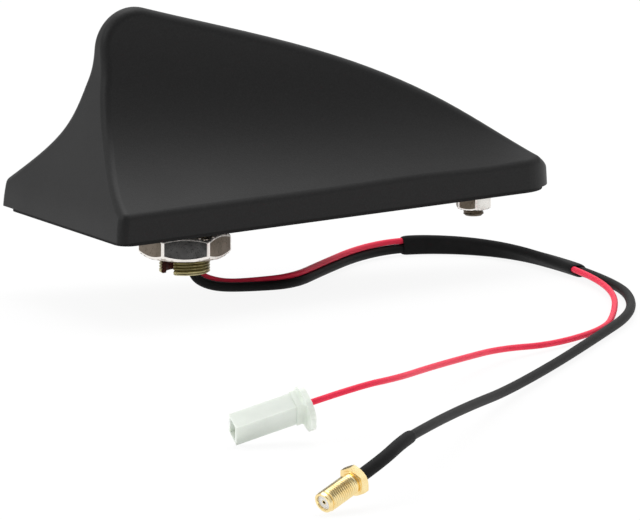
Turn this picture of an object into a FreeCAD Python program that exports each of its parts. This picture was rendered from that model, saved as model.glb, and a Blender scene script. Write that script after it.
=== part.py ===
"""Shark fin roof antenna with its two leads, in millimetres.

+X points to the nose, +Y to the car's left, +Z up. The origin is on the mounting post's axis, at the
plane of the roof, which is the gasket's underside. The fin is a flared skin over a base plate, and all
its sections come from one half-width formula, used once for the outside and once, inset, for the inside.
"""
import FreeCAD, Part
import math
import os

from FreeCAD import Placement, Rotation, Vector

# Fin, outside
shell_bottom = 1.3
skirt_top = 8.8
rear_x = -40.5
nose_x = 118.3
rear_half = 37.8
nose_radius = 13.5
skirt_draft = 3.0
blade_half = 3.2
rear_flare = 3.3
nose_flare = 1.0
apex_rise = 3.5
apex_least = 2.0
tip_centre_x = -16.6
tip_centre_z = 51.2
tip_radius = 11.6
tip_end_angle = 16.5
ridge_through = [(44.6, 45.3), (85.0, 27.5), (106.0, 14.3)]
ridge_end = (121.0, 4.2)
rear_through = [(-39.6, 9.0), (-33.2, 25.0), (-29.6, 40.0)]
edge_round = 2.4
wall = 2.2

# Base plate and what closes the shell
plate_thickness = 3.0
plate_gap = 0.25
boss_radius = 3.6
boss_places = [(-27.0, 24.0), (-27.0, -24.0), (78.0, 8.5), (78.0, -8.5)]
shell_screw_radius = 1.45
shell_screw_length = 9.0
shell_screw_head_radius = 2.7
shell_screw_head_height = 1.6
pilot_spare = 0.6
screw_gap = 0.05
head_gap = 0.3
rib_thickness = 1.6
rib_length = 14.0

# Gasket
gasket_inset = 1.5
gasket_corner = 4.0
seal_width = 6.0
seal_height = 0.5
hole_gap = 0.2

# Mounting post and its nut
post_radius = 7.4
post_bore = 5.5
post_end = -16.0
post_flange_radius = 10.5
post_flange_height = 2.0
post_flange_flat = 9.0
post_slot_width = 3.9
post_slot_top = -9.0
post_slot_turn = 20.5
post_chamfer = 0.6
post_nut_across = 23.4
post_nut_height = 7.2
post_nut_top = -4.0
post_nut_turn = 3.5
thread_gap = 0.05
hex_face_share = 0.97

# Front stud and its nut
stud_x = 95.6
stud_radius = 3.0
stud_end = -7.4
stud_chamfer = 0.5
stud_head_radius = 5.6
stud_head_height = 1.8
front_nut_across = 9.6
front_nut_height = 5.0
front_nut_top = -0.3
front_nut_turn = 38.8

# Amplifier board and what stands on it
board_rear = 13.0
board_front = 66.0
board_rear_half = 16.0
board_front_half = 9.0
board_thickness = 1.6
standoff_height = 4.5
standoff_radius = 2.6
standoff_inset = 3.6
board_screw_radius = 1.2
board_screw_length = 4.6
board_screw_head_radius = 2.2
board_screw_head_height = 1.4
can_rear = 21.0
can_length = 25.0
can_width = 16.0
can_height = 5.5
can_sheet = 0.4
can_corner = 1.0
coil_behind = 12.0
coil_radius = 2.8
coil_wire = 0.4
coil_turns = 5
coil_gap = 0.05
radiator_sheet = 0.8
radiator_rear = -18.0
radiator_front = 64.0
radiator_bottom = 24.0
radiator_clear = 6.0
radiator_corner = 5.0
radiator_leg = 3.0

# Cords
coax_radius = 1.4
wire_radius = 0.9
cord_top = -12.8
coax_bore = (3.0, -1.0)
wire_bore = (3.4, 1.7)
lead_bend = 6.0
lead_start_x = 18.0
lead_gap = 0.05
floor_z = -23.5
coax_straight = 10.0
wire_straight = 15.0
stack = 2.35
sleeve_wall = 0.5
sleeve_gap = 0.12
arc_share = 0.45
boot_wall = 0.5
boot_gap = 0.06

# Gold jack on the coax
jack_tip = Vector(-117.8, -300.6, -20.8)
jack_yaw = -163.7
jack_pitch = 20.9
jack_roll = 20.0
jack_length = 14.0
jack_thread_radius = 3.175
jack_nose_radius = 2.9
jack_nose_length = 1.0
jack_flat_depth = 0.45
jack_hex_across = 8.0
jack_hex_height = 2.4
jack_neck_radius = 2.8
jack_neck_length = 0.6
jack_bore = 2.1
jack_bore_depth = 9.0
jack_recess = 0.5
contact_radius = 0.63
contact_hole = 0.45
contact_hole_depth = 3.0
contact_length = 7.0

# White housing on the power wire
housing_place = Vector(-72.7, -208.1, -13.5)
housing_yaw = -10.4
housing_pitch = -15.5
housing_roll = 41.4
housing_length = 22.0
housing_width = 5.2
housing_height = 8.1
housing_wall = 0.9
housing_back = 3.0
flange_reach_y = 3.2
flange_reach_z = 1.95
flange_thickness = 1.6
flange_corner = 4.4
flange_shift = 1.2
collar_length = 2.4
collar_step = 0.4
collar_round = 0.5
collar_blend = 1.2
wire_hole_gap = 0.1
crimp_radius = 1.3
crimp_length = 3.0
terminal_length = 10.0
terminal_sheet = 0.35
terminal_gap = 0.25

# Worked out from the values above
plate_top = shell_bottom + plate_thickness
board_bottom = plate_top + standoff_height
board_top = board_bottom + board_thickness
coax_floor = floor_z + coax_radius
wire_floor = floor_z + wire_radius
wire_stacked = coax_floor + stack
nose_centre = nose_x - nose_radius
flange_width = housing_width + 2 * flange_reach_y
flange_height = housing_height + 2 * flange_reach_z
UP = Vector(0, 0, 1)
FORWARD = Vector(1, 0, 0)
BELOW, ABOVE = -6.0, 82.0


def line(start, end):
    return Part.LineSegment(start, end).toShape()


def spline(points, first=None, last=None):
    """A smooth edge through a few points, with its end directions where they are given."""
    curve = Part.BSplineCurve()
    if first and last:
        curve.interpolate(Points=points, InitialTangent=first, FinalTangent=last)
    else:
        curve.interpolate(Points=points)
    return curve.toShape()


def polygon(points):
    return Part.Face(Part.makePolygon(points + points[:1]))


def cylinder(radius, bottom, top, x=0.0, y=0.0):
    return Part.makeCylinder(radius, top - bottom, Vector(x, y, bottom))


def turned(profile, axis=UP):
    """A solid of revolution about the origin's axis, from (radius, distance along the axis) pairs."""
    across = FORWARD if axis is UP else UP
    return polygon([across * r + axis * along for r, along in profile]).revolve(Vector(), axis, 360)


def save(shape, node):
    assert shape.Solids and all(solid.isValid() for solid in shape.Solids), node
    shape.exportStep("parts/" + node + ".step")
    print(node, len(shape.Solids), "solids,", round(shape.Volume, 1), "mm3")


def hexagon(across, height, turn):
    """A hexagon blank on the plane z = 0, with its corners turned off at both faces."""
    corner = across / 2 / math.cos(math.pi / 6)
    angles = [math.radians(turn + 30 + 60 * i) for i in range(6)]
    corners = [Vector(corner * math.cos(a), corner * math.sin(a), 0) for a in angles]
    blank = polygon(corners).extrude(UP * height)
    flat = hex_face_share * across / 2
    drop = (corner - flat) * math.tan(math.radians(30))
    envelope = turned([(0, 0), (flat, 0), (corner, drop), (corner, height - drop), (flat, height), (0, height)])
    return blank.common(envelope)


def nut(across, height, turn, hole, top, x=0.0):
    blank = hexagon(across, height, turn).cut(cylinder(hole, -1, height + 1))
    blank.translate(Vector(x, 0, top - height))
    return blank


# The fin's skin

def side_slope():
    """Angle in plan between the skirt's straight side and the fin's middle plane."""
    reach = nose_centre - rear_x
    return math.atan2(rear_half, reach) - math.asin(nose_radius / math.hypot(reach, rear_half))


def skirt_half(x):
    """Half-width of the skirt's straight side, carried on past the nose."""
    return rear_half - (x - rear_x) * math.tan(side_slope())


def plan_wire(inset, z, behind=0.0):
    """The skirt's outline at a height, with its draft: two straight sides and a round nose."""
    inset = inset + (z - shell_bottom) * math.tan(math.radians(skirt_draft))
    slope = side_slope()
    radius = nose_radius - inset
    touch_x, touch_y = nose_centre + radius * math.sin(slope), radius * math.cos(slope)
    back_x = rear_x + inset - behind
    back_y = touch_y + (touch_x - back_x) * math.tan(slope)
    right, left = Vector(touch_x, -touch_y, z), Vector(touch_x, touch_y, z)
    corners = [left, Vector(back_x, back_y, z), Vector(back_x, -back_y, z), right]
    nose = Part.Arc(right, Vector(nose_centre + radius, 0, z), left).toShape()
    return Part.Wire([nose] + [line(a, b) for a, b in zip(corners, corners[1:])])


def side_profile(inset):
    """Rear face, tip and ridge seen from the side, as a closed face in the plane y = 0."""
    tip = Vector(tip_centre_x, 0, tip_centre_z)
    radius = tip_radius - inset
    end, middle = math.radians(tip_end_angle), math.radians((tip_end_angle - 90) / 2)
    tip_start = tip + Vector(-radius, 0, 0)
    tip_middle = tip + Vector(math.sin(middle), 0, math.cos(middle)) * radius
    tip_end = tip + Vector(math.sin(end), 0, math.cos(end)) * radius
    foot = Vector(rear_x + inset - 0.3, 0, BELOW)
    rear = [foot] + [Vector(x + inset, 0, z) for x, z in rear_through] + [tip_start]
    lower = inset / math.cos(math.radians(25))
    ridge = [tip_end] + [Vector(x, 0, z - lower) for x, z in ridge_through + [ridge_end]]
    foot_front = Vector(ridge_end[0], 0, BELOW)
    return Part.Face(Part.Wire([
        spline(rear, Vector(0.02, 0, 1), Vector(0, 0, 1)),
        Part.Arc(tip_start, tip_middle, tip_end).toShape(),
        spline(ridge, Vector(math.cos(end), 0, -math.sin(end)), Vector(0.84, 0, -0.54)),
        line(ridge[-1], foot_front),
        line(foot_front, foot),
    ]))


def ridge_height(x):
    """Height of the ridge, along straight steps between the points that it goes through."""
    end = math.radians(tip_end_angle)
    first = (tip_centre_x + tip_radius * math.sin(end), tip_centre_z + tip_radius * math.cos(end))
    points = [first] + ridge_through + [ridge_end]
    for (x0, z0), (x1, z1) in zip(points, points[1:]):
        if x <= x1 or (x1, z1) == ridge_end:
            return z0 + (z1 - z0) * (x - x0) / (x1 - x0)


def flare_apex(x):
    """Height at which the flare would reach the blade's thickness, above the ridge and the skirt."""
    return max(ridge_height(x) + apex_rise, skirt_top + apex_least)


def flare_half(x, z):
    """Half-width of the fin at a place: wide at the skirt, drawn in to the blade's thickness above."""
    along = (x - rear_x) / (nose_x - rear_x)
    power = nose_flare + (rear_flare - nose_flare) * max(0.0, 1 - along * along)
    apex = flare_apex(x)
    left = max(0.0, 1 - (z - skirt_top) / (apex - skirt_top))
    return blade_half + (skirt_half(x) - blade_half) * left**power


def flare_section(x, inset):
    """One cross-section of the flared sides, closed, and taller than the ridge."""
    apex = flare_apex(x)
    heights = [skirt_top - 4.0] + [skirt_top + (apex - skirt_top) * f for f in (0.0, 0.16, 0.36, 0.62, 1.0)]
    side = [Vector(x, flare_half(x, z) - inset, z - inset) for z in heights]
    other = [Vector(p.x, -p.y, p.z) for p in side]
    foot, top = Vector(x, side[0].y, BELOW), Vector(x, side[-1].y, ABOVE)
    foot_other, top_other = Vector(x, -foot.y, BELOW), Vector(x, -top.y, ABOVE)
    return Part.Wire([
        line(foot_other, foot), line(foot, side[0]), spline(side), line(side[-1], top),
        line(top, top_other), line(top_other, other[-1]), spline(other[::-1]), line(other[0], foot_other),
    ])


def fin_body(inset, bottom):
    """The fin as a solid block, smaller all round by the inset."""
    stations = [rear_x - 6, -18.0, 10.0, 45.0, 78.0, 102.0, nose_x + 3]
    flared = Part.makeLoft([flare_section(x, inset) for x in stations], True, False)
    plan = Part.makeLoft([plan_wire(inset, bottom, 6.0), plan_wire(inset, ABOVE - 2, 6.0)], True, True)
    span = 2 * rear_half + 20
    side = side_profile(inset).extrude(Vector(0, span, 0))
    side.translate(Vector(0, -span / 2, 0))
    return flared.common(plan).common(side).Solids[0]


def is_soft_edge(edge):
    """The rounded edges: the rim of the rear face, the tip and ridge, and the top of the skirt."""
    box = edge.BoundBox
    middle = edge.valueAt((edge.FirstParameter + edge.LastParameter) / 2)
    skirt = box.ZMin > skirt_top - 4 and box.ZMax < skirt_top + 4 and box.XMax > nose_centre
    rear = box.XMax < tip_centre_x and box.ZLength > 5
    ridge = box.ZMax > tip_centre_z + 5
    return skirt or (rear or ridge) and abs(middle.y) > blade_half / 2


def fin_shell():
    block = fin_body(0.0, shell_bottom)
    block = block.makeFillet(edge_round, [edge for edge in block.Edges if is_soft_edge(edge)])
    shell = block.cut(fin_body(wall, shell_bottom - 2))
    pilot_top = shell_bottom + shell_screw_head_height + shell_screw_length + pilot_spare
    for x, y in boss_places:
        shell = shell.fuse(cylinder(boss_radius, plate_top, tip_centre_z, x, y).common(block))
    for x, y in boss_places:
        shell = shell.cut(cylinder(shell_screw_radius + screw_gap, plate_top - 1, pilot_top, x, y))
    return shell.removeSplitter()


# What closes the shell and holds it to the roof

def board_corners():
    half_step = (board_rear_half - board_front_half) * standoff_inset / (board_front - board_rear)
    rear_half_width = board_rear_half - half_step - standoff_inset
    front_half_width = board_front_half + half_step - standoff_inset
    rear, front = board_rear + standoff_inset, board_front - standoff_inset
    return [(rear, rear_half_width), (rear, -rear_half_width),
            (front, front_half_width), (front, -front_half_width)]


def base_plate():
    length, width = nose_x - rear_x, 2 * rear_half
    slab = Part.makeBox(length, width, plate_thickness, Vector(rear_x, -rear_half, shell_bottom))
    plate = fin_body(wall + plate_gap, shell_bottom - 1).common(slab)
    for x, y in board_corners():
        plate = plate.fuse(cylinder(standoff_radius, plate_top - 0.5, board_bottom, x, y))
    rib_y = post_flange_flat + hole_gap
    for y in (rib_y, -rib_y - rib_thickness):
        corner = Vector(-rib_length / 2, y, plate_top)
        plate = plate.fuse(Part.makeBox(rib_length, rib_thickness, post_flange_height, corner))
    plate = plate.cut(cylinder(post_radius + hole_gap, 0, board_bottom))
    plate = plate.cut(cylinder(stud_radius + hole_gap, 0, board_bottom, stud_x))
    for x, y in boss_places:
        plate = plate.cut(cylinder(shell_screw_radius + screw_gap, 0, plate_top + 1, x, y))
        pocket = shell_screw_head_radius + head_gap
        plate = plate.cut(cylinder(pocket, 0, shell_bottom + shell_screw_head_height + screw_gap, x, y))
    for x, y in board_corners():
        plate = plate.cut(cylinder(board_screw_radius + screw_gap, plate_top, board_bottom + 1, x, y))
    return plate.removeSplitter()


def roof_gasket():
    sheet = Part.Face(plan_wire(gasket_inset, 0.0)).extrude(UP * shell_bottom)
    rear = [e for e in sheet.Edges if e.BoundBox.ZLength > shell_bottom / 2 and e.BoundBox.XMax < 0]
    sheet = sheet.makeFillet(gasket_corner, rear)
    pocket = Part.Face(plan_wire(gasket_inset + seal_width, 0.0)).extrude(UP * seal_height)
    sheet = sheet.cut(pocket)
    sheet = sheet.cut(cylinder(post_radius + hole_gap, -1, plate_top))
    return sheet.cut(cylinder(stud_radius + hole_gap, -1, plate_top, stud_x))


def mounting_post():
    """A turned tube with a flange above, flats on the flange, and a saw slot across its lower end."""
    top = plate_top + post_flange_height
    post = turned([
        (post_bore, post_end), (post_radius - post_chamfer, post_end), (post_radius, post_end + post_chamfer),
        (post_radius, plate_top), (post_flange_radius, plate_top), (post_flange_radius, top), (post_bore, top),
    ])
    width = 2 * post_flange_radius
    for y in (post_flange_flat, -post_flange_flat - width):
        post = post.cut(Part.makeBox(2 * width, width, 10, Vector(-width, y, plate_top - 1)))
    slot = Part.makeBox(2 * width, post_slot_width, post_slot_top - post_end + 5)
    slot.translate(Vector(-width, -post_slot_width / 2, post_end - 5))
    slot.rotate(Vector(), UP, post_slot_turn)
    return post.cut(slot)


def front_stud():
    stud = turned([
        (0, stud_end), (stud_radius - stud_chamfer, stud_end), (stud_radius, stud_end + stud_chamfer),
        (stud_radius, plate_top), (stud_head_radius, plate_top),
        (stud_head_radius, plate_top + stud_head_height), (0, plate_top + stud_head_height),
    ])
    stud.translate(Vector(stud_x, 0, 0))
    return stud


def shell_screws():
    seat = shell_bottom + shell_screw_head_height + screw_gap
    screws = []
    for x, y in boss_places:
        head = cylinder(shell_screw_head_radius, seat - shell_screw_head_height, seat, x, y)
        screws.append(head.fuse(cylinder(shell_screw_radius, seat, seat + shell_screw_length, x, y)))
    return Part.makeCompound(screws)


# The amplifier and the receiving plate

def circuit_board():
    corners = [(board_rear, -board_rear_half), (board_front, -board_front_half),
               (board_front, board_front_half), (board_rear, board_rear_half)]
    board = polygon([Vector(x, y, board_bottom) for x, y in corners]).extrude(UP * board_thickness)
    for x, y in board_corners():
        board = board.cut(cylinder(board_screw_radius + screw_gap, 0, 20, x, y))
    return board


def board_screws():
    screws = []
    for x, y in board_corners():
        head = cylinder(board_screw_head_radius, board_top, board_top + board_screw_head_height, x, y)
        screws.append(head.fuse(cylinder(board_screw_radius, board_top - board_screw_length, board_top, x, y)))
    return Part.makeCompound(screws)


def shield_can():
    can = Part.makeBox(can_length, can_width, can_height, Vector(can_rear, -can_width / 2, board_top))
    can = can.makeFillet(can_corner, [e for e in can.Edges if e.BoundBox.ZLength > can_height / 2])
    hollow = Part.makeBox(can_length - 2 * can_sheet, can_width - 2 * can_sheet, can_height - can_sheet)
    hollow.translate(Vector(can_rear + can_sheet, can_sheet - can_width / 2, board_top))
    return can.cut(hollow)


def radiator_plate():
    """An upright sheet that follows the ridge from inside, with a leg down to the board."""
    def top(x):
        return ridge_height(x) - radiator_clear
    rear_top = top(radiator_rear + radiator_corner) - 1
    outline = [
        (radiator_rear, radiator_bottom), (radiator_rear, rear_top - radiator_corner),
        (radiator_rear + radiator_corner, rear_top), (ridge_through[0][0], top(ridge_through[0][0])),
        (radiator_front, top(radiator_front)), (radiator_front, board_top),
        (radiator_front - radiator_leg, board_top), (radiator_front - radiator_leg, radiator_bottom),
    ]
    plate = polygon([Vector(x, -radiator_sheet / 2, z) for x, z in outline])
    return plate.extrude(Vector(0, radiator_sheet, 0))


def loading_coil():
    low, high = board_top + coil_wire + coil_gap, radiator_bottom - coil_wire - coil_gap
    pitch = (high - low) / coil_turns
    helix = Part.makeHelix(pitch, high - low, coil_radius)
    start = Vector(coil_radius, 0, 0)
    heading = Vector(0, 2 * math.pi * coil_radius, pitch)
    section = Part.Wire(Part.makeCircle(coil_wire, start, heading))
    coil = Part.Wire(helix.Edges).makePipeShell([section], True, True)
    coil.translate(Vector(radiator_front - coil_behind, 0, low))
    return coil


# Cords

def cord_path(points):
    """Edges of straight runs joined by tangent arcs, each arc as large as its two runs allow."""
    edges, radii, start = [], [], points[0]
    for before, here, after in zip(points, points[1:], points[2:]):
        back, ahead = before - here, after - here
        cut = arc_share * min(back.Length, ahead.Length)
        back.normalize()
        ahead.normalize()
        half_turn = (math.pi - back.getAngle(ahead)) / 2
        radius = cut / math.tan(half_turn)
        inward = back + ahead
        inward.normalize()
        middle = here + inward * (radius / math.cos(half_turn) - radius)
        edges.append(line(start, here + back * cut))
        edges.append(Part.Arc(here + back * cut, middle, here + ahead * cut).toShape())
        start = here + ahead * cut
        radii.append(round(radius, 1))
    edges.append(line(start, points[-1]))
    return edges, radii


def tube(edges, radius):
    """A round solid along a path's edges."""
    first = edges[0]
    heading = first.tangentAt(first.FirstParameter)
    section = Part.Wire(Part.makeCircle(radius, first.valueAt(first.FirstParameter), heading))
    return Part.Wire(edges).makePipeShell([section], True, False)


def print_cord(name, edges, radii, radius, solid):
    length = sum(edge.Length for edge in edges)
    share = solid.Volume / (math.pi * radius**2 * length)
    print(name, "length", round(length, 1), "radii", radii, "volume over section times length", round(share, 4))


def inner_lead(place, radius):
    """From its joint on the board, back over the board's edge and down the hollow post."""
    x, y = place
    level = board_top + radius + lead_gap
    bend = math.sin(math.pi / 4) * lead_bend
    points = [Vector(lead_start_x, y, level), Vector(x + lead_bend, y, level), Vector(x, y, level - lead_bend)]
    middle = Vector(x + lead_bend - bend, y, level - lead_bend + bend)
    bent = Part.Arc(points[1], middle, points[2]).toShape()
    down = line(points[2], Vector(x, y, cord_top))
    return tube([line(points[0], points[1]), bent, down], radius)


def along(place, turn, distance):
    """A point on a connector's own axis."""
    return place + turn.multVec(FORWARD) * distance


jack_turn = Rotation(jack_yaw, jack_pitch, jack_roll)
jack_rear = along(jack_tip, jack_turn, -jack_length)
housing_turn = Rotation(housing_yaw, housing_pitch, housing_roll)
wire_end = -housing_back - collar_length

# Points that both cords pass under the fin, one lying on the other, and where their sleeve begins and ends.
shared_route = [(34.4, -3.2), (51.0, 11.2), (73.3, 29.1), (91.0, 34.8), (106.5, 26.8), (116.4, 11.0),
                (118.5, -13.4), (116.9, -41.1)]
sleeve_from, sleeve_to = shared_route[3], shared_route[6]
coax_start = [Vector(*coax_bore, cord_top), Vector(*coax_bore, -15.4), Vector(4.8, -1.0, -18.2),
              Vector(8.4, -0.9, -20.0), Vector(13.2, -0.8, -21.5), Vector(20.4, -1.0, coax_floor)]
coax_route = coax_start + [Vector(x, y, coax_floor) for x, y in shared_route]
coax_route += [Vector(x, y, coax_floor) for x, y in [(112.0, -63.7), (96.7, -91.4), (71.0, -117.3),
                                                     (38.5, -147.5)]]
coax_route += [Vector(3.0, -184.3, -20.3), Vector(-23.3, -214.4, -16.8), Vector(-47.8, -243.1, -13.2),
               Vector(-69.0, -268.3, -10.4), Vector(-83.8, -283.6, -9.7),
               along(jack_rear, jack_turn, -coax_straight), jack_rear]
wire_route = [Vector(*wire_bore, cord_top), Vector(*wire_bore, -14.6), Vector(5.4, 1.7, -17.2),
              Vector(9.4, 1.6, -19.2), Vector(14.6, 1.0, wire_stacked), Vector(21.4, -0.4, wire_stacked)]
wire_route += [Vector(x, y, wire_stacked) for x, y in shared_route]
wire_route += [Vector(107.8, -62.5, -20.4)]
wire_route += [Vector(x, y, wire_floor) for x, y in [(96.5, -80.5), (78.8, -104.0), (54.5, -119.0)]]
wire_route += [Vector(33.0, -127.5, -20.7), Vector(9.0, -149.0, -17.8), Vector(-15.0, -172.6, -14.5),
               Vector(-38.5, -198.5, -10.8), along(housing_place, housing_turn, wire_straight),
               along(housing_place, housing_turn, wire_end)]
sleeve_first = len(coax_start) + shared_route.index(sleeve_from)
sleeve_last = len(coax_start) + shared_route.index(sleeve_to)
boot_first = len(coax_route) - 3


def cable_sleeve(edges):
    """A shrink sleeve round both cords: the cable below, the wire on top of it."""
    covered = edges[2 * sleeve_first - 1: 2 * sleeve_last]
    bend = covered[0]
    middle = (bend.FirstParameter + bend.LastParameter) / 2
    covered[0] = bend.Curve.toShape(middle, bend.LastParameter)
    start = covered[0].valueAt(covered[0].FirstParameter)
    heading = covered[0].tangentAt(covered[0].FirstParameter)
    beside = heading.cross(UP)
    walls = []
    for grow in (sleeve_gap + sleeve_wall, sleeve_gap):
        low, high = coax_radius + grow, wire_radius + grow
        lean = math.asin((low - high) / stack)
        cos_lean, sin_lean = math.cos(lean), math.sin(lean)

        def around(radius, centre, side):
            return start + UP * centre + (beside * (side * cos_lean) + UP * sin_lean) * radius
        bottom = Part.Arc(around(low, 0, 1), start - UP * low, around(low, 0, -1)).toShape()
        top = Part.Arc(around(high, stack, -1), start + UP * (stack + high), around(high, stack, 1)).toShape()
        left = line(around(low, 0, -1), around(high, stack, -1))
        right = line(around(high, stack, 1), around(low, 0, 1))
        sweep = Part.BRepOffsetAPI.MakePipeShell(Part.Wire(covered))
        sweep.setBiNormalMode(UP)
        sweep.add(Part.Wire([bottom, left, top, right]))
        sweep.build()
        sweep.makeSolid()
        walls.append(sweep.shape())
    return walls[0].cut(walls[1])


# Connectors, each made along its own X axis and then laid in place

def placed(shape, place, turn):
    shape.Placement = Placement(place, turn)
    return shape


def jack_body():
    thread_end = jack_length - jack_nose_length
    body = turned([
        (0, 0), (jack_neck_radius, 0), (jack_neck_radius, jack_hex_height + jack_neck_length),
        (jack_thread_radius, jack_hex_height + jack_neck_length + 0.3), (jack_thread_radius, thread_end - 0.3),
        (jack_nose_radius, thread_end), (jack_nose_radius, jack_length), (0, jack_length),
    ], FORWARD)
    flat_corner = Vector(jack_hex_height, -jack_hex_across / 2, jack_thread_radius - jack_flat_depth)
    flat = Part.makeBox(thread_end, jack_hex_across, jack_hex_across, flat_corner)
    body = body.cut(flat)
    flange = hexagon(jack_hex_across, jack_hex_height, 0.0)
    flange.rotate(Vector(), Vector(0, 1, 0), 90)
    bore = Part.makeCylinder(jack_bore, jack_bore_depth, Vector(jack_length - jack_bore_depth, 0, 0), FORWARD)
    return placed(body.fuse(flange).cut(bore).removeSplitter(), jack_rear, jack_turn)


def jack_insulator():
    start, end = jack_length - jack_bore_depth, jack_length - jack_recess
    hole = contact_radius + thread_gap
    outside = jack_bore - thread_gap
    rod = turned([(hole, start), (outside, start), (outside, end), (hole, end)], FORWARD)
    return placed(rod, jack_rear, jack_turn)


def jack_contact():
    end = jack_length - jack_recess
    start, seat = end - contact_length, end - contact_hole_depth
    pin = turned([(0, start), (contact_radius, start), (contact_radius, end), (contact_hole, end),
                  (contact_hole, seat), (0, seat)], FORWARD)
    return placed(pin, jack_rear, jack_turn)


def jack_boot(edges):
    covered = edges[2 * boot_first - 1:]
    sleeve = tube(covered, coax_radius + boot_gap + boot_wall)
    return sleeve.cut(tube(covered, coax_radius + boot_gap))


def centred_box(start, end, width, height):
    return Part.makeBox(end - start, width, height, Vector(start, -width / 2, -height / 2))


def lengthwise(box):
    """The four edges of a box that run along its own X axis."""
    return [edge for edge in box.Edges if edge.BoundBox.XLength > box.BoundBox.XLength / 2]


def is_collar_foot(edge, width, height):
    """The edges where the collar meets the flange's front face."""
    box = edge.BoundBox
    on_face = box.XLength < 0.01 and abs(box.XMin + flange_thickness) < 0.01
    reach_y, reach_z = max(box.YMax, -box.YMin), max(box.ZMax, -box.ZMin)
    return on_face and reach_y < width / 2 + 0.01 and reach_z < height / 2 + 0.01


def connector_housing():
    body = centred_box(-housing_length, 0, housing_width, housing_height)
    flange = centred_box(-flange_thickness, 0, flange_width, flange_height)
    flange = flange.makeFillet(flange_corner, lengthwise(flange))
    flange.translate(Vector(0, -flange_shift, 0))
    width, height = housing_width + 2 * collar_step, housing_height + 2 * collar_step
    collar = centred_box(-flange_thickness - collar_length, -flange_thickness / 2, width, height)
    collar = collar.makeFillet(collar_round, lengthwise(collar))
    ends = flange.fuse(collar)
    ends = ends.makeFillet(collar_blend, [e for e in ends.Edges if is_collar_foot(e, width, height)])
    hollow = centred_box(-housing_length - 1, -housing_back, housing_width - 2 * housing_wall,
                         housing_height - 2 * housing_wall)
    hole_start = Vector(-housing_back - 1, 0, 0)
    hole = Part.makeCylinder(wire_radius + wire_hole_gap, housing_back + 2, hole_start, FORWARD)
    solid = body.fuse(ends).cut(hollow).cut(hole).removeSplitter()
    return placed(solid, housing_place, housing_turn)


def connector_terminal():
    width = housing_width - 2 * housing_wall - 2 * terminal_gap
    height = housing_height - 2 * housing_wall - 2 * terminal_gap
    rear = wire_end - crimp_length
    box = centred_box(rear - terminal_length, rear, width, height)
    hollow = centred_box(rear - terminal_length - 1, rear - terminal_sheet, width - 2 * terminal_sheet,
                         height - 2 * terminal_sheet)
    crimp = Part.makeCylinder(crimp_radius, crimp_length, Vector(rear, 0, 0), FORWARD)
    return placed(box.cut(hollow).fuse(crimp).removeSplitter(), housing_place, housing_turn)


os.makedirs("parts", exist_ok=True)
coax_edges, coax_radii = cord_path(coax_route)
wire_edges, wire_radii = cord_path(wire_route)
coax_cable = tube(coax_edges, coax_radius)
power_wire = tube(wire_edges, wire_radius)
print_cord("coax_cable", coax_edges, coax_radii, coax_radius, coax_cable)
print_cord("power_wire", wire_edges, wire_radii, wire_radius, power_wire)

save(fin_shell(), "fin_shell")
save(base_plate(), "base_plate")
save(roof_gasket(), "roof_gasket")
save(mounting_post(), "mounting_post")
save(nut(post_nut_across, post_nut_height, post_nut_turn, post_radius + thread_gap, post_nut_top), "post_nut")
save(front_stud(), "front_stud")
front_hole = stud_radius + thread_gap
save(nut(front_nut_across, front_nut_height, front_nut_turn, front_hole, front_nut_top, stud_x), "front_nut")
save(shell_screws(), "shell_screws")
save(circuit_board(), "circuit_board")
save(board_screws(), "board_screws")
save(shield_can(), "shield_can")
save(radiator_plate(), "radiator_plate")
save(loading_coil(), "loading_coil")
save(inner_lead(coax_bore, coax_radius), "coax_lead")
save(inner_lead(wire_bore, wire_radius), "power_lead")
save(coax_cable, "coax_cable")
save(power_wire, "power_wire")
save(cable_sleeve(coax_edges), "cable_sleeve")
save(jack_boot(coax_edges), "jack_boot")
save(jack_body(), "jack_body")
save(jack_insulator(), "jack_insulator")
save(jack_contact(), "jack_contact")
save(connector_housing(), "connector_housing")
save(connector_terminal(), "connector_terminal")
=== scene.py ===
# %% [markdown]
# A shark fin antenna stands on a car's roof: a flared plastic fin, a rubber seal, a threaded post with a
# big nut, and two leads that come out of the post. The rigid pieces come ready made from a CAD model, so
# this lesson is about what CAD leaves plain: the cords, the threads, the shrink sleeves and the finishes.
# Lengths in CAD are in millimetres and Blender's are in metres, so values here are written in
# millimetres and multiplied by one unit.

# %% Load the CAD frame
import math

import bmesh
import bpy
import numpy as np
from mathutils import Matrix, Vector


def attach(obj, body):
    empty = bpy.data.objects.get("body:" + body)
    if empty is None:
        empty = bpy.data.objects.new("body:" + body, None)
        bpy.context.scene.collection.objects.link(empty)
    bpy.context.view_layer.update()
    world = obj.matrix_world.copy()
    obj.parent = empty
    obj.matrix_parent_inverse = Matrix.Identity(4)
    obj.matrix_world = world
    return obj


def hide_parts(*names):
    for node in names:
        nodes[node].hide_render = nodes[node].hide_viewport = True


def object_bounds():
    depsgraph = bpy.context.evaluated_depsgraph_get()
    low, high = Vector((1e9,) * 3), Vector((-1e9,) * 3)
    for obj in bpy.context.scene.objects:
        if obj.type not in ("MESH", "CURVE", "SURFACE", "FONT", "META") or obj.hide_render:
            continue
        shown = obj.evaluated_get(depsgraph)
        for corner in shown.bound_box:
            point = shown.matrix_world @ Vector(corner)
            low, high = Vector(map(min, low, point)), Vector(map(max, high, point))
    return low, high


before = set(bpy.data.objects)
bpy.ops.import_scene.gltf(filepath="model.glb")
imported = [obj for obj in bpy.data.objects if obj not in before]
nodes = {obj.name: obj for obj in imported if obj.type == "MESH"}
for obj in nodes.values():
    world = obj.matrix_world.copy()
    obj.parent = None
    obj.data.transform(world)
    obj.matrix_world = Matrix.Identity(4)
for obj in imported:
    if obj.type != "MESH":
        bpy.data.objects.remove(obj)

MM = 0.001
cad_box = [list(map(float, corner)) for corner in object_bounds()]
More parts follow.
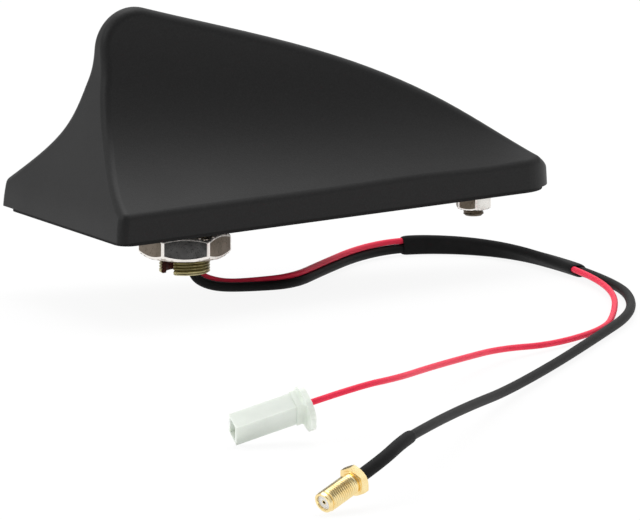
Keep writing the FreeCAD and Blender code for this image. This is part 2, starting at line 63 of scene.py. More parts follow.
print("CAD nodes:", len(nodes), "box in mm:", [[round(v / MM, 1) for v in corner] for corner in cad_box])

# %% [markdown]
# The picture was taken with a long lens from behind the fin's right rear corner, a little above it.
# A camera four metres away with a very long lens gives the same nearly parallel edges. It could be placed
# by eye, but three unit vectors for right, up and forward place it exactly: the aim is shifted from the
# origin along right and up until the post falls where it does in the picture.

# %% Camera
azimuth, elevation = math.radians(-28.5), math.radians(10.2)
aim_right, aim_up = 39.16, -12.37
camera_distance = 4000.0
right = Vector((math.cos(azimuth), math.sin(azimuth), 0))
forward = Vector((-math.sin(azimuth) * math.cos(elevation), math.cos(azimuth) * math.cos(elevation),
                  -math.sin(elevation)))
up = right.cross(forward)

camera_data = bpy.data.cameras.new("long_lens")
camera_data.sensor_width = 36.0
camera_data.lens = 778.5
camera = bpy.data.objects.new("camera", camera_data)
camera.location = (right * aim_right + up * aim_up - forward * camera_distance) * MM
camera.rotation_euler = forward.to_track_quat("-Z", "Y").to_euler()
bpy.context.collection.objects.link(camera)
bpy.context.scene.camera = camera
print("camera at", [round(v, 3) for v in camera.location])

# %% [markdown]
# Two cords come down out of the hollow post. The black coaxial cable carries the radio signal, and the red
# wire on top of it carries power to the amplifier in the fin. Nothing but gravity and habit gives a loose
# cord its shape, so no formula would do: the points of each route were chosen one by one, many of them on the
# floor, and the last ones lead up to the connectors.

# %% Routes of the two cords
floor_level = -22.1
stacked_level = -19.75
wire_level = -22.6


def at_level(places, level):
    return [(x, y, level) for x, y in places]


under_fin = [(34.4, -3.2), (51, 11.2), (73.3, 29.1), (91, 34.8)]
coax_out = [(3, -1, -12.8), (2, -1, -15), (2.9, -1, -17.8), (6.2, -1, -19.9), (11.4, -0.9, -21.4)]
coax_bend = [(106.5, 26.8), (116.4, 11), (118.5, -13.4), (116.9, -41.1)]
coax_back = [(112, -63.7), (96.7, -91.4), (71, -117.3), (38, -149.8)]
coax_to_jack = [(3, -184.3, -20.9), (-23.3, -214.4, -16.8), (-47.8, -243.1, -13.2), (-69, -268.3, -10.4),
                (-83.8, -283.6, -9.7), (-96.28, -294.31, -12.24), (-105.25, -296.93, -15.81)]
coax_route = coax_out + at_level([(20.4, -1)] + under_fin + coax_bend + coax_back, floor_level) + coax_to_jack

wire_out = [(3.4, 1.7, -12.8), (3.4, 1.7, -14.6), (5.4, 1.7, -17.2), (9.4, 1.6, -19.2), (14.6, 1.5, -20.5),
            (21.4, 0.8, -20.7), (34.4, -2.2, -20)]
wire_bend = [(105.8, 26.1, -20), (114.7, 10.5, -20.6), (116.3, -13.4, -21.2), (114.2, -40.8, -21.6),
             (108, -62, -22.3)]
wire_back = [(94.3, -85.6), (79.5, -106.2), (54.4, -120.4)]
wire_to_housing = [(33, -127.5, -20.7), (9, -149, -17.8), (-15, -172.6, -14.5), (-38.5, -198.5, -10.8),
                   (-58.5, -210.7, -9.5), (-77.8, -207.2, -14.9)]
wire_route = wire_out + at_level(under_fin[1:], stacked_level) + wire_bend
wire_route += at_level(wire_back, wire_level) + wire_to_housing
print("route points:", len(coax_route), "and", len(wire_route))

# %% [markdown]
# A cord is one smooth curve with a round bevel. A NURBS curve of order three takes the route as control
# points and is drawn towards them without corners. Blender counts each point's radius, one metre unless
# it is set, into the curve's box. So the cord's thickness is given as the points' radius, with a bevel
# depth of one, and the box comes out as large as the cord.

# %% Lay the cords
coax_radius = 1.4
wire_radius = 0.9


def lay_cord(name, route, radius):
    """One round cord along a route of points in millimetres."""
    data = bpy.data.curves.new(name, "CURVE")
    data.dimensions = "3D"
    spline = data.splines.new("NURBS")
    spline.points.add(len(route) - 1)
    for point, place in zip(spline.points, route):
        point.co = (place[0] * MM, place[1] * MM, place[2] * MM, 1)
        point.radius = radius * MM
    spline.order_u = 3
    spline.use_endpoint_u = True
    spline.resolution_u = 12
    data.bevel_depth = 1.0
    data.bevel_resolution = 6
    data.use_fill_caps = True
    cord = bpy.data.objects.new(name, data)
    bpy.context.collection.objects.link(cord)
    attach(cord, "root")
    return cord


coax = lay_cord("black_coax", coax_route, coax_radius)
wire = lay_cord("red_wire", wire_route, wire_radius)
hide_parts("coax_cable")
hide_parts("power_wire")
print("cords laid:", coax.name, wire.name)

# %% [markdown]
# The sleeves on the cords have to follow them exactly, so the line that the curve really takes is read
# back: a copy without its bevel turns into a chain of points, which are spread out evenly.


# %% Read the cords' centrelines
def centreline(cord, step=0.5):
    """Evenly spaced points along a cord, in metres, and its length."""
    bare = cord.copy()
    bare.data = cord.data.copy()
    bare.data.bevel_depth = 0
    bpy.context.collection.objects.link(bare)
    mesh = bpy.data.meshes.new_from_object(bare.evaluated_get(bpy.context.evaluated_depsgraph_get()))
    raw = np.array([tuple(v.co) for v in mesh.vertices])
    bpy.data.objects.remove(bare)
    run = np.concatenate([[0], np.cumsum(np.linalg.norm(np.diff(raw, axis=0), axis=1))])
    stops = np.linspace(0, run[-1], int(run[-1] / (step * MM)) + 1)
    return np.stack([np.interp(stops, run, raw[:, i]) for i in range(3)], axis=1), run[-1]


coax_line, coax_length = centreline(coax)
wire_line, wire_length = centreline(wire)
print("coax", round(coax_length / MM, 1), "mm, wire", round(wire_length / MM, 1), "mm")

# %% [markdown]
# Sleeves, threads and turned metal are all skins over a row of rings: each ring is a loop of points, and
# faces join every ring to the next. One helper makes them all, and the rings decide what it becomes.


# %% Skin over rings
def skin(name, rings, closed=False):
    """A mesh over rings of points in metres. A closed one also joins its last ring to its first."""
    count = len(rings[0])
    points = [tuple(p) for ring in rings for p in ring]
    faces = []
    for i in range(len(rings) if closed else len(rings) - 1):
        here, there = i * count, (i + 1) % len(rings) * count
        for k in range(count):
            after = (k + 1) % count
            faces.append((here + k, here + after, there + after, there + k))
    mesh = bpy.data.meshes.new(name)
    mesh.from_pydata(points, [], faces)
    mesh.validate()
    mesh.shade_smooth()
    mesh.set_sharp_from_angle(angle=math.radians(40))
    piece = bpy.data.objects.new(name, mesh)
    bpy.context.collection.objects.link(piece)
    print(name, len(mesh.vertices), "points")
    return piece


# %% [markdown]
# Under the fin's nose a shrink sleeve holds cable and wire together. When it was heated it drew tight
# round both, so its section is the shape of a belt round two wheels: the cable's circle, the wire's
# circle and two straight sides. The wire starts on top of the cable and slides to the inner side of the
# bend, so each section is laid across the cable and leans towards the wire beside it.


# %% Section of the sleeve
def belt(low, high, low_radius, high_radius, ahead, count=40):
    """The loop of a belt round two circles, in the plane across the direction ahead."""
    lift = high - low
    lift -= ahead * lift.dot(ahead)
    gap = lift.length
    lift.normalize()
    across = ahead.cross(lift)
    lean = math.asin((low_radius - high_radius) / gap)
    loop = []
    for k in range(count):
        angle = 2 * math.pi * k / count
        upper = math.sin(angle) > math.sin(lean)
        centre, radius = (high, high_radius) if upper else (low, low_radius)
        loop.append(centre + (across * math.cos(angle) + lift * math.sin(angle)) * radius)
    return loop


def nearest(line, place):
    """Which point of a line is nearest to a place in millimetres."""
    return int(np.argmin(np.linalg.norm(line - np.array(place) * MM, axis=1)))


def abreast(line, place, ahead, reach=6.0):
    """The point of a line, within reach, that lies straight beside a place."""
    offset = line - np.array(place)
    close = np.flatnonzero(np.linalg.norm(offset, axis=1) < reach * MM)
    return Vector(line[close[np.argmin(np.abs(offset[close] @ np.array(ahead)))]])


def drawn_in(i, first, last, depth=0.3, steps=1.5):
    """How much a shrink tube's two ends are drawn in, in millimetres, fading over a few steps."""
    return depth * max(math.exp(-(i - first) / steps), math.exp(-(last - i) / steps))


print("helpers ready, one step is", round(float(np.linalg.norm(coax_line[1] - coax_line[0])) / MM, 2), "mm")

# %% Shrink sleeve
sleeve_wall = 0.6
tube_fit = 0.02
sleeve_start = nearest(coax_line, (90.0, 33.0, floor_level))
sleeve_end = nearest(coax_line, (117.8, -24.7, floor_level))
outer, inner = [], []
for i in range(sleeve_start, sleeve_end + 1):
    low = Vector(coax_line[i])
    ahead = (Vector(coax_line[i + 1]) - Vector(coax_line[i - 1])).normalized()
    high = abreast(wire_line, low, ahead)
    wall = sleeve_wall - drawn_in(i, sleeve_start, sleeve_end)
    outer.append(belt(low, high, (coax_radius + wall) * MM, (wire_radius + wall) * MM, ahead))
    inner.append(belt(low, high, (coax_radius + tube_fit) * MM, (wire_radius + tube_fit) * MM, ahead))
sleeve = skin("shrink_sleeve", outer + inner[::-1], closed=True)
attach(sleeve, "root")
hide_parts("cable_sleeve")

# %% [markdown]
# A shorter boot grips the cable behind the gold jack. It is round, so its rings are plain circles along
# the cable's last centimetres. Only its free end is drawn in: the other end is taken to lie a little past
# the cable's, inside the jack.


# %% Jack boot
def circle(centre, radius, ahead, count=32):
    across = ahead.cross(Vector((0, 0, 1))).normalized()
    lift = across.cross(ahead)
    turns = [2 * math.pi * k / count for k in range(count)]
    return [centre + (across * math.cos(t) + lift * math.sin(t)) * radius for t in turns]


boot_wall = 0.45
steps_past_cable = 9
boot_start = nearest(coax_line, (-78.6, -278.2, -9.9))
outer, inner = [], []
for i in range(boot_start, len(coax_line)):
    centre = Vector(coax_line[i])
    ahead = Vector(coax_line[min(i + 1, len(coax_line) - 1)]) - Vector(coax_line[i - 1])
    ahead.normalize()
    wall = boot_wall - drawn_in(i, boot_start, len(coax_line) + steps_past_cable)
    outer.append(circle(centre, (coax_radius + wall) * MM, ahead))
    inner.append(circle(centre, (coax_radius + tube_fit) * MM, ahead))
boot = skin("jack_shrink_boot", outer + inner[::-1], closed=True)
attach(boot, "root")
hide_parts("jack_boot")

# %% [markdown]
# Turned metal is a row of rings round an axis. A screw thread is the same thing with a radius that
# depends on the angle as well: the groove's phase moves by one pitch for each turn. A hexagon is a ring
# whose radius is the distance to its flat sides, and the chamfer a lathe leaves on it is a cone, so the
# line where the cone meets the flats curves up towards each corner. Each point also remembers how deep in
# a groove it lies, because dirt and shadow collect there and the finish can use it.


# %% Rings for turned metal
def spun(name, profile, place, segments=72, trim=None, closed=False):
    """Rings round local X. Each step of the profile is (along, radius) or a function of the angle, which may
    add how deep in a groove the point is. A trim may pull in points that a flat has cut away."""
    rings, grooves = [], []
    for step in profile:
        ring = []
        for k in range(segments):
            angle = 2 * math.pi * k / segments
            along, radius, *deep = step(angle) if callable(step) else step
            side, rise = radius * math.cos(angle), radius * math.sin(angle)
            if trim:
                side, rise = trim(along, side, rise)
            ring.append(place @ (Vector((along, side, rise)) * MM))
            grooves.append(deep[0] if deep else 0.0)
        rings.append(ring)
    piece = skin(name, rings, closed)
    piece.data.attributes.new("groove", "FLOAT", "POINT").data.foreach_set("value", grooves)
    return piece


# %% Profile of a thread
def thread(start, end, radius, pitch, depth, fade=0.8, rings_per_turn=9):
    """Profile steps for a right-handed thread between two places on the axis."""
    def step(along):
        strength = min(1, (along - start) / fade, (end - along) / fade)

        def at(angle):
            phase = (along / pitch - angle / (2 * math.pi)) % 1
            groove = 0.5 - 0.5 * math.cos(2 * math.pi * phase)
            return along, radius - depth * strength * groove, strength * groove
        return at
    count = int((end - start) / pitch * rings_per_turn)
    return [step(start + (end - start) * i / count) for i in range(count + 1)]


# %% Profile of a hexagon
def hexagon(start, end, across, face_share=0.97):
    """Profile steps for a hexagon with its corners turned off at both faces."""
    flat = face_share * across / 2

    def side(angle):
        return across / 2 / math.cos(angle % (math.pi / 3) - math.pi / 6)

    def drop(angle):
        return max(0.0, side(angle) - flat) * math.tan(math.radians(30))
    return [lambda angle: (start, min(flat, side(angle))), lambda angle: (start + drop(angle), side(angle)),
            lambda angle: (end - drop(angle), side(angle)), lambda angle: (end, min(flat, side(angle)))]


# %% [markdown]
# The gold jack is turned from brass and plated: a hexagon to hold it by, a thin washer face, the thread
# that the radio's plug screws on to, a plain nose, and a bore with a white insulator. One side of the
# thread is milled flat so that the jack can't turn in a panel.

# %% Gold jack
jack_yaw, jack_pitch, jack_roll = -163.7, 20.9, 20.0
jack_length = 14.0
jack_tip = Vector((-117.8, -300.6, -20.8))
flat_from, flat_rise = 2.72, 2.725
jack_turn = (Matrix.Rotation(math.radians(jack_yaw), 4, "Z")
             @ Matrix.Rotation(math.radians(jack_pitch), 4, "Y")
             @ Matrix.Rotation(math.radians(jack_roll), 4, "X"))
jack_back = Matrix.Translation(Vector((-jack_length, 0, 0)) * MM)
jack_place = Matrix.Translation(jack_tip * MM) @ jack_turn @ jack_back

back_face = [(0.0, coax_radius + tube_fit), (0.0, 2.6)]
washer_face = [(2.4, 3.5), (2.65, 3.45), (2.7, 2.85), (3.2, 2.8)]
nose = [(12.8, 2.8), (13.0, 2.75), (13.1, 2.9), (13.85, 2.9), (jack_length, 2.75)]
bore = [(jack_length, 2.2), (13.8, 2.1), (5.0, 2.1), (5.0, 0.0)]
jack_profile = back_face + hexagon(0.05, 2.4, across=8.0) + washer_face
jack_profile += thread(3.3, 12.7, radius=3.175, pitch=0.7, depth=0.34) + nose + bore


def milled(along, side, rise):
    return side, min(rise, flat_rise) if along > flat_from else rise


jack = spun("gold_jack", jack_profile, jack_place, segments=96, trim=milled)
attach(jack, "root")
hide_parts("jack_body")

# %% [markdown]
# The mounting post is a hollow bolt: a flange that lies on the base plate, with two flats that stop it
# from turning, and a fine thread. Its rings run down the outside only and close across the bore, so the
# bore's wall is the last strip of faces.

# %% Threaded post
downwards = Matrix.Rotation(math.radians(90), 4, "Y")
post_radius = 7.4
post_bore = 5.5
post_flat = 9.0
post_flange = [(-6.3, post_bore), (-6.3, 10.5), (-4.3, 10.5), (-4.3, post_radius)]
post_tip = [(15.7, 7.1), (16.0, 6.8), (16.0, post_bore)]
post_profile = post_flange + thread(-4.2, 15.6, radius=post_radius, pitch=0.85, depth=0.38) + post_tip


def two_flats(along, side, rise):
    return max(-post_flat, min(post_flat, side)), rise


post = spun("threaded_post", post_profile, downwards, segments=96, trim=two_flats, closed=True)

# %% [markdown]
# A saw slot across the post's lower end lets the leads turn out sideways. It is a boolean cut, which suits
# a shape that no ring describes. The cutter is a box that is taken away again once the cut is made.

# %% Slot in the post
slot_width, slot_shift = 5.0, 0.55
slot_long, slot_high, slot_middle = 44.0, 11.0, -14.5
slot_turn = Matrix.Rotation(math.radians(20.5), 4, "Z")
slot_place = slot_turn @ Matrix.Translation(Vector((0, slot_shift, slot_middle)) * MM)
slot_size = Matrix.Diagonal((slot_long * MM, slot_width * MM, slot_high * MM, 1))

cutter_mesh = bpy.data.meshes.new("slot_cutter")
cutter_form = bmesh.new()
bmesh.ops.create_cube(cutter_form, size=1.0, matrix=slot_place @ slot_size)
cutter_form.to_mesh(cutter_mesh)
cutter_form.free()
cutter = bpy.data.objects.new("slot_cutter", cutter_mesh)
bpy.context.collection.objects.link(cutter)
cut = post.modifiers.new("slot", "BOOLEAN")
cut.operation = "DIFFERENCE"
cut.object = cutter
slotted = bpy.data.meshes.new_from_object(post.evaluated_get(bpy.context.evaluated_depsgraph_get()))
post.modifiers.clear()
post.data = slotted
bpy.data.objects.remove(cutter)
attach(post, "root")
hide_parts("mounting_post")
print("post rings:", len(post_profile), "points after the cut:", len(slotted.vertices))

# %% [markdown]
# The stud under the nose is a small solid bolt of the same kind, with a flat head inside the fin.

# %% Threaded stud
stud_x = 95.6
stud_radius = 3.0
stud_head = [(-6.1, 0.0), (-6.1, 5.6), (-4.3, 5.6), (-4.3, stud_radius)]
stud_tip = [(7.0, 2.8), (7.4, 2.4), (7.4, 0.0)]
stud_profile = stud_head + thread(-4.2, 6.9, radius=stud_radius, pitch=0.9, depth=0.35) + stud_tip
stud_place = Matrix.Translation(Vector((stud_x, 0, 0)) * MM) @ downwards
stud = spun("threaded_stud", stud_profile, stud_place, segments=48)
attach(stud, "root")
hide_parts("front_stud")

# %% [markdown]
# Finishes come next. A material in Blender is a small program made of nodes, and sums are easier to read
# as sums. The class Value wraps one socket and understands plus, minus, times and greater than, so that an
# expression such as 0.4 + grain * 0.1 adds the Math nodes by itself. The class Finish holds a material
# with its Principled shader, and its one method, node, adds any other kind of node.


# %% Shader sums
class Value:
    """A shader socket that can be used in sums."""

    def __init__(self, finish, socket):
        self.finish, self.socket = finish, socket

    def math(self, operation, first, second):
        return self.finish.node("ShaderNodeMath", {"operation": operation}, {0: first, 1: second})

    def __add__(self, other):
        return self.math("ADD", self, other)

    def __radd__(self, other):
        return self.math("ADD", other, self)

    def __sub__(self, other):
        return self.math("SUBTRACT", self, other)

    def __rsub__(self, other):
        return self.math("SUBTRACT", other, self)

    def __mul__(self, other):
        return self.math("MULTIPLY", self, other)

    def __rmul__(self, other):
        return self.math("MULTIPLY", other, self)

    def __gt__(self, other):
        return self.math("GREATER_THAN", self, other)


# %% Finishes
class Finish:
    """A material with its Principled shader."""

    def __init__(self, name, **constants):
        self.material = bpy.data.materials.new(name)
        self.material.use_nodes = True
        self.tree = self.material.node_tree
        self.shader = self.tree.nodes["Principled BSDF"]
        for socket, value in constants.items():
            self.link(self.shader.inputs[socket.replace("_", " ")], value)
        self.place = self.node("ShaderNodeTexCoord", output="Object")

    def link(self, socket, value):
        if isinstance(value, Value):
            self.tree.links.new(value.socket, socket)
        else:
            socket.default_value = value

    def node(self, kind, settings=None, inputs=None, output=0):
        made = self.tree.nodes.new(kind)
        for key, value in (settings or {}).items():
            setattr(made, key, value)
        for key, value in (inputs or {}).items():
            self.link(made.inputs[key], value)
        return Value(self, made.outputs[output])

    def noise(self, size, detail=2.0, stretch=None):
        """Soft noise whose spots are about the given size in millimetres."""
        place = self.place
        if stretch:
            place = self.node("ShaderNodeMapping", {}, {"Vector": place, "Scale": stretch})
        inputs = {"Vector": place, "Scale": 1 / (size * MM), "Detail": detail}
        return self.node("ShaderNodeTexNoise", {}, inputs)

    def mix(self, factor, first, second):
        return self.node("ShaderNodeMix", {"data_type": "RGBA"}, {0: factor, 6: first, 7: second}, output=2)

    def ramp(self, value, low, high):
        """Zero below low, one above high, and straight between."""
        return self.node("ShaderNodeMapRange", {}, {"Value": value, "From Min": low, "From Max": high})

    def surface(self, colour, roughness, height, depth, strength=1.0):
        """Joins what was worked out to the shader. Depth is the bump's real height in millimetres."""
        inputs = {"Height": height, "Distance": depth * MM, "Strength": strength}
        bump = self.node("ShaderNodeBump", {}, inputs)
        for socket, value in (("Base Color", colour), ("Roughness", roughness), ("Normal", bump)):
            self.link(self.shader.inputs[socket], value)
        return self.material


def dress(finish, *pieces):
    """Gives a finish to pieces or to CAD nodes by name."""
    for piece in pieces:
        piece = nodes[piece] if isinstance(piece, str) else piece
        piece.data.materials.clear()
        piece.data.materials.append(finish)
    print(finish.name, "on", len(pieces), "pieces")


# %% [markdown]
# The fin is moulded in black plastic with a fine spark-eroded grain, so it is dark but never glossy.
# Two noises do it: a very fine one for the grain's bumps, and a wide one that varies the roughness a
# little, as flow in the mould and handling do. The CAD meshes are made of flat faces, so all of them are
# shaded smooth here, apart from their sharp edges.

# %% Fin plastic
fin = Finish("fin_plastic", Metallic=0.0, Specular_IOR_Level=0.25)
grain = fin.noise(0.45, detail=3.0)
flow = fin.noise(28.0)
fin_colour = fin.mix(fin.ramp(grain, 0.35, 0.7), (0.008, 0.008, 0.0082, 1), (0.0125, 0.0125, 0.0128, 1))
fin.surface(fin_colour, 0.42 + flow * 0.12, grain, depth=0.05, strength=0.5)
dress(fin.material, "fin_shell")
for name in nodes:
    nodes[name].data.shade_smooth()
    nodes[name].data.set_sharp_from_angle(angle=math.radians(32))

# %% [markdown]
# The seal under the skirt and the covers of the cords are mostly black too, but softer materials. Rubber
# is rougher than the fin and dusty, and vinyl has a satin shine with slow dents in it.

# %% Rubber and vinyl
rubber = Finish("gasket_rubber", Metallic=0.0, Specular_IOR_Level=0.2)
dust = rubber.noise(1.2, detail=4.0)
rubber_colour = rubber.mix(dust, (0.008, 0.008, 0.008, 1), (0.02, 0.02, 0.02, 1))
rubber.surface(rubber_colour, 0.62 + dust * 0.2, dust, depth=0.08)
dress(rubber.material, "roof_gasket")


def vinyl(name, dark, light, rough, dent, shine):
    """A satin cord cover: slow dents, and a colour that varies a little."""
    cover = Finish(name, Metallic=0.0, Specular_IOR_Level=shine)
    slow, fine = cover.noise(dent), cover.noise(0.6)
    colour = cover.mix(slow, dark, light)
    return cover.surface(colour, rough + fine * 0.1, slow * 0.8 + fine * 0.2, depth=0.12, strength=0.6)


black_vinyl = vinyl("coax_vinyl", (0.01, 0.01, 0.01, 1), (0.016, 0.016, 0.016, 1), rough=0.5, dent=6.0,
                    shine=0.08)
red_vinyl = vinyl("red_vinyl", (0.88, 0.03, 0.075, 1), (0.97, 0.046, 0.105, 1), rough=0.4, dent=5.0,
                  shine=0.12)
shrink_tube = vinyl("shrink_tube", (0.013, 0.013, 0.0132, 1), (0.019, 0.019, 0.0192, 1), rough=0.5, dent=3.0,
                    shine=0.04)
dress(black_vinyl, coax, "coax_lead")
dress(red_vinyl, wire, "power_lead")
dress(shrink_tube, sleeve, boot)

# %% [markdown]
# Nuts, post and stud are plated steel. Plating is metal all over, so it has metallic one, and what makes it
# look real is that it is never even: the colour drifts between a darker and a lighter tone, small dark specks
# sit in it, and the roughness changes with both. The groove depth that the rings kept darkens the bottoms of
# the threads: this is partly dirt and partly painted shade.


# %% Plated metal
def plated(name, dark, light, rough, patch=4.0, speck=0.5, spots=0.5, relief=0.5, groove_dirt_and_shade=0.85):
    """Metal whose colour drifts in patches, with small dark specks and grooves painted dark, for dirt and
    shade.
    """
    metal = Finish(name, Metallic=1.0)
    drift, fine = metal.noise(patch, detail=3.0), metal.noise(speck)
    specks = metal.ramp(fine, 0.58, 0.7)
    colour = metal.mix(metal.ramp(drift, 0.3, 0.7), dark, light)
    dirt_and_shade = tuple(0.3 * c for c in dark[:3]) + (1,)
    groove = metal.node("ShaderNodeAttribute", {"attribute_name": "groove"}, output="Fac")
    colour = metal.mix(specks * spots, colour, dirt_and_shade)
    # Deep groove points are painted darker, partly for dirt and partly as painted shade.
    colour = metal.mix(metal.ramp(groove, 0.45, 1.0) * groove_dirt_and_shade, colour, dirt_and_shade)
    roughness = rough + drift * 0.12 + specks * spots * 0.3
    return metal.surface(colour, roughness, fine, depth=0.02, strength=relief)


bright_zinc = plated("bright_zinc", (0.66, 0.64, 0.6, 1), (0.84, 0.82, 0.78, 1), 0.2, spots=0.15)
worn_steel = plated("worn_steel", (0.93, 0.88, 0.83, 1), (1.0, 0.96, 0.92, 1), 0.3, spots=0.0)
warm_rim = plated("warm_rim", (0.5, 0.44, 0.38, 1), (0.66, 0.6, 0.53, 1), 0.3, spots=0.2)
# The darkest plating is painted dark reflection, for the nut flats that face the dark side of the room.
zinc_painted_dark = plated("zinc_painted_dark", (0.055, 0.054, 0.053, 1), (0.11, 0.108, 0.106, 1), 0.35, patch=3.0, speck=0.4,
                   spots=0.7)
brown_zinc = plated("brown_zinc", (0.1, 0.08, 0.058, 1), (0.19, 0.155, 0.12, 1), 0.32, patch=6.0)
nut_platings = (bright_zinc, worn_steel, warm_rim, zinc_painted_dark, brown_zinc)
print("platings for the nuts:", [metal.name for metal in nut_platings])

# %% [markdown]
# A spanner has polished the nuts' edges. The edges are a bevel modifier, which leaves the CAD mesh's points
# in place and gives its strips a material of their own. A CAD mesh has separate points on each face, so a
# weld goes first, or there would be no edge to bevel. Each flat finds its finish by the direction it looks
# in, and these finishes are painted reflection: some flats are painted dark grey and some brown, so that
# flats turned different ways show darker and brighter reflections in their colour.

# %% Nuts
WORN, FLAT, RIM = 1, 2, 3
flat_tilt, rim_tilt = 0.3, 0.95
heading_reach = 20


def worn_edges(node, width, finish):
    """Rounds a nut's edges a little and gives the rounded strips a brighter finish."""
    nodes[node].data.materials.append(finish)
    welding = nodes[node].modifiers.new("weld", "WELD")
    welding.merge_threshold = 0.01 * MM
    rounding = nodes[node].modifiers.new("worn_edges", "BEVEL")
    rounding.width = width * MM
    rounding.segments = 3
    rounding.limit_method = "ANGLE"
    rounding.angle_limit = math.radians(45)
    rounding.use_clamp_overlap = False
    rounding.harden_normals = True
    rounding.material = WORN


def paint_flat_reflections(node, finish, directions, rim):
    """Gives the flats of a nut that look in some directions, in degrees, a finish of their own, which paints
    the reflection that flats turned that way show. The corners that were turned off at both faces get the
    rim's finish."""
    mesh = nodes[node].data
    mesh.materials.append(finish)
    mesh.materials.append(rim)
    for face in mesh.polygons:
        heading = math.degrees(math.atan2(face.normal.y, face.normal.x))
        turned_away = [abs((heading - direction + 180) % 360 - 180) for direction in directions]
        if abs(face.normal.z) < flat_tilt:
            face.material_index = FLAT if min(turned_away) < heading_reach else 0
        elif abs(face.normal.z) < rim_tilt:
            face.material_index = RIM
    print(node, "has", sum(face.material_index == FLAT for face in mesh.polygons), "faces in", finish.name)


dress(zinc_painted_dark, "post_nut")
dress(bright_zinc, "front_nut")
worn_edges("post_nut", 0.6, worn_steel)
worn_edges("front_nut", 0.3, worn_steel)
# Flats that look in the listed directions get a painted reflection of their own, darker or lighter than the
# nut's other flats.
paint_flat_reflections("post_nut", brown_zinc, (63.5, 183.5, 303.5), warm_rim)
paint_flat_reflections("front_nut", brown_zinc, (38.8, 158.8, 218.8), bright_zinc)

# %% [markdown]
# The post has a yellow chromate outside, but its bore and its slot are painted nearly black: this is painted
# shade, for the inside of the hollow post that lies in shadow. The faces of bore and slot are found by where
# they are and which way they look. This comes after the post is dressed, because a new first finish sets all
# faces back.

# %% Post and stud
bore_reach, slot_reach = 6.4, 3.2
dress(plated("yellow_zinc", (0.32, 0.27, 0.12, 1), (0.56, 0.5, 0.26, 1), 0.3, patch=5.0), post)
# The bore's finish is painted shade, nearly black.
post.data.materials.append(plated("bore_painted_shade", (0.05, 0.014, 0.01, 1), (0.09, 0.03, 0.02, 1), 0.5))
across_slot = slot_turn @ Vector((0, 1, 0))
for face in post.data.polygons:
    in_bore = face.center.xy.length < bore_reach * MM and abs(face.normal.z) < 0.7
    beside_slot = abs(face.normal.dot(across_slot)) > 0.95
    in_slot = beside_slot and abs(face.center.dot(across_slot)) < slot_reach * MM
    face.material_index = 1 if in_bore or in_slot else 0
dress(brown_zinc, stud)

# %% [markdown]
# The same function gives the metal inside the fin its finish, and the jack its gold. Gold plating is smooth
# and clean, so it has no specks, hardly any relief, and its grooves are painted only a little darker, for
# dirt and shade.

# %% Inner metal and gold
dress(plated("screw_zinc", (0.5, 0.5, 0.5, 1), (0.7, 0.7, 0.7, 1), 0.3), "shell_screws", "board_screws")
dress(plated("can_tin", (0.6, 0.6, 0.6, 1), (0.76, 0.76, 0.75, 1), 0.25), "shield_can", "connector_terminal")
bare_copper = plated("bare_copper", (0.7, 0.34, 0.2, 1), (0.86, 0.48, 0.33, 1), 0.3)
dress(bare_copper, "radiator_plate", "loading_coil")
gold = plated("gold_plate", (0.94, 0.7, 0.31, 1), (1.0, 0.84, 0.47, 1), 0.16, patch=3.0, spots=0.0,
              relief=0.03, groove_dirt_and_shade=0.3)
dress(gold, jack, "jack_contact")

# %% [markdown]
# The housing on the red wire is unfilled nylon, milky and a little green, and light goes into it before
# it comes back. Subsurface scattering does that. The jack's insulator is a denser white, and what is
# inside the fin gets plain finishes of its own.

# %% Nylon and insulator
nylon = Finish("milky_nylon", Metallic=0.0, Subsurface_Weight=0.35, Subsurface_Scale=0.002,
               Subsurface_Radius=(1.0, 1.0, 0.9), IOR=1.5)
cloud, fine = nylon.noise(3.0), nylon.noise(0.5)
nylon_colour = nylon.mix(cloud, (0.78, 0.84, 0.76, 1), (0.86, 0.91, 0.84, 1))
nylon.surface(nylon_colour, 0.34 + cloud * 0.12, fine, depth=0.03)
dress(nylon.material, "connector_housing")

insulator = Finish("white_insulator", Metallic=0.0)
fine = insulator.noise(0.3)
insulator_colour = insulator.mix(fine, (0.7, 0.69, 0.66, 1), (0.85, 0.84, 0.81, 1))
insulator.surface(insulator_colour, 0.4 + fine * 0.1, fine, depth=0.01)
dress(insulator.material, "jack_insulator")

# %% Board and base plate
mask = Finish("solder_mask", Metallic=0.0)
tracks = mask.ramp(mask.noise(2.2, detail=0.0, stretch=(1.0, 0.25, 1.0)), 0.48, 0.52)
mask_colour = mask.mix(tracks, (0.01, 0.09, 0.035, 1), (0.02, 0.16, 0.06, 1))
mask.surface(mask_colour, 0.3 + tracks * 0.06, tracks, depth=0.02)
dress(mask.material, "circuit_board")

tray = Finish("base_plastic", Metallic=0.0)
rough = tray.noise(0.8)
tray_colour = tray.mix(rough, (0.014, 0.014, 0.014, 1), (0.022, 0.022, 0.022, 1))
tray.surface(tray_colour, 0.5 + rough * 0.15, rough, depth=0.04)
dress(tray.material, "base_plate")

# %% [markdown]
# The first point of each cord's route is turned into metres.

tuple(v * MM for v in coax_route[0])
tuple(v * MM for v in wire_route[0])

# %% [markdown]
# A catalogue picture stands on white. The floor is white paper with a soft shadow: its material mixes a
# plain white glow, for what the camera or a mirror sees, with a little of the diffuse white that takes
# the shadow.

# %% Floor
lowest = cad_box[0][2]
floor_mesh = bpy.data.meshes.new("paper_floor")
corners = [(-0.42, -0.58), (0.5, -0.58), (0.5, 0.52), (-0.42, 0.52)]
floor_mesh.from_pydata([(x, y, lowest) for x, y in corners], [], [(0, 1, 2, 3)])
floor = bpy.data.objects.new("paper_floor", floor_mesh)
bpy.context.collection.objects.link(floor)


def rays(finish):
    """One where the camera looks, where a mirror looks and where light goes through, for a mix."""
    kinds = ("Is Camera Ray", "Is Glossy Ray", "Is Transmission Ray")
    return [finish.node("ShaderNodeLightPath", output=kind) for kind in kinds]


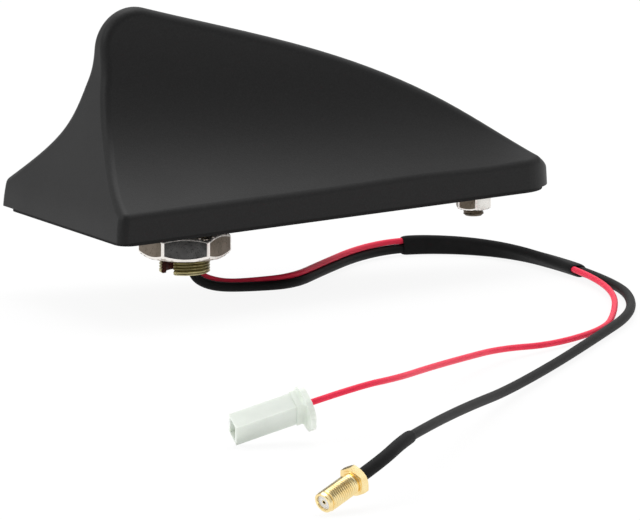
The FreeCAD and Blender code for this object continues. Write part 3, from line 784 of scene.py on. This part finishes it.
glow_share = 0.9
paper = Finish("white_paper", Base_Color=(0.97, 0.97, 0.97, 1), Roughness=0.9)
glow = paper.node("ShaderNodeEmission", {}, {"Color": (1, 1, 1, 1), "Strength": 1.0})
seen, mirrored, through = rays(paper)
shaded = Value(paper, paper.shader.outputs[0])
glowing = (seen + mirrored + through) * glow_share
whitened = paper.node("ShaderNodeMixShader", {}, {0: glowing, 1: shaded, 2: glow})
paper.link(paper.tree.nodes["Material Output"].inputs["Surface"], whitened)
floor.data.materials.append(paper.material)
print("floor at", round(lowest / MM, 2), "mm")

# %% [markdown]
# Light comes from a pale room that is brighter overhead, and from two soft lamps. The side of the room
# where the camera stands is darker, so that metal which faces the camera has something dark to mirror.
# The camera itself sees plain white, and so do mirrors that look below the horizon.


# %% Room light
class Sky(Finish):
    """The world's light, worked out with the same sums from the direction it comes from."""

    def __init__(self, name):
        self.world = bpy.data.worlds.new(name)
        self.world.use_nodes = True
        self.tree = self.world.node_tree
        self.place = self.node("ShaderNodeTexCoord", output="Generated")

    def towards(self, direction):
        dot = {"operation": "DOT_PRODUCT"}
        return self.node("ShaderNodeVectorMath", dot, {0: self.place, 1: tuple(direction)}, output="Value")


sky = Sky("white_room")
bpy.context.scene.world = sky.world
dark_side = sky.ramp(sky.towards(-forward), 0.0, 0.8)
overhead = sky.ramp(sky.towards((0, 0, 1)), 0.0, 1.0)
brightness = 0.75 - dark_side * 0.62 + overhead * 0.4
seen, mirrored, through = rays(sky)
below = sky.towards((0, 0, -1)) > 0.0
backdrop = sky.ramp(seen + (mirrored + through) * below, 0.0, 1.0)
sky.link(sky.tree.nodes["Background"].inputs["Color"], sky.mix(backdrop, brightness, (1, 1, 1, 1)))
print("world:", bpy.context.scene.world.name)


# %% Lamps
def soft_lamp(name, place, size, power):
    """A square lamp that looks at the middle of the fin and its cords."""
    data = bpy.data.lights.new(name, "AREA")
    data.size, data.energy = size, power
    lamp = bpy.data.objects.new(name, data)
    lamp.location = place
    lamp.rotation_euler = (Vector((0, -0.1, 0)) - Vector(place)).to_track_quat("-Z", "Y").to_euler()
    bpy.context.collection.objects.link(lamp)
    print("lamp", name, power, "W")


soft_lamp("side", (-1.3, -0.2, 0.9), size=0.9, power=6)
soft_lamp("top", (0.3, 0.3, 1.5), size=1.2, power=10)
bpy.context.scene.view_settings.view_transform = "Standard"

# %% [markdown]
# Last, the view layer is updated.

# %% Update the view layer
bpy.context.view_layer.update()
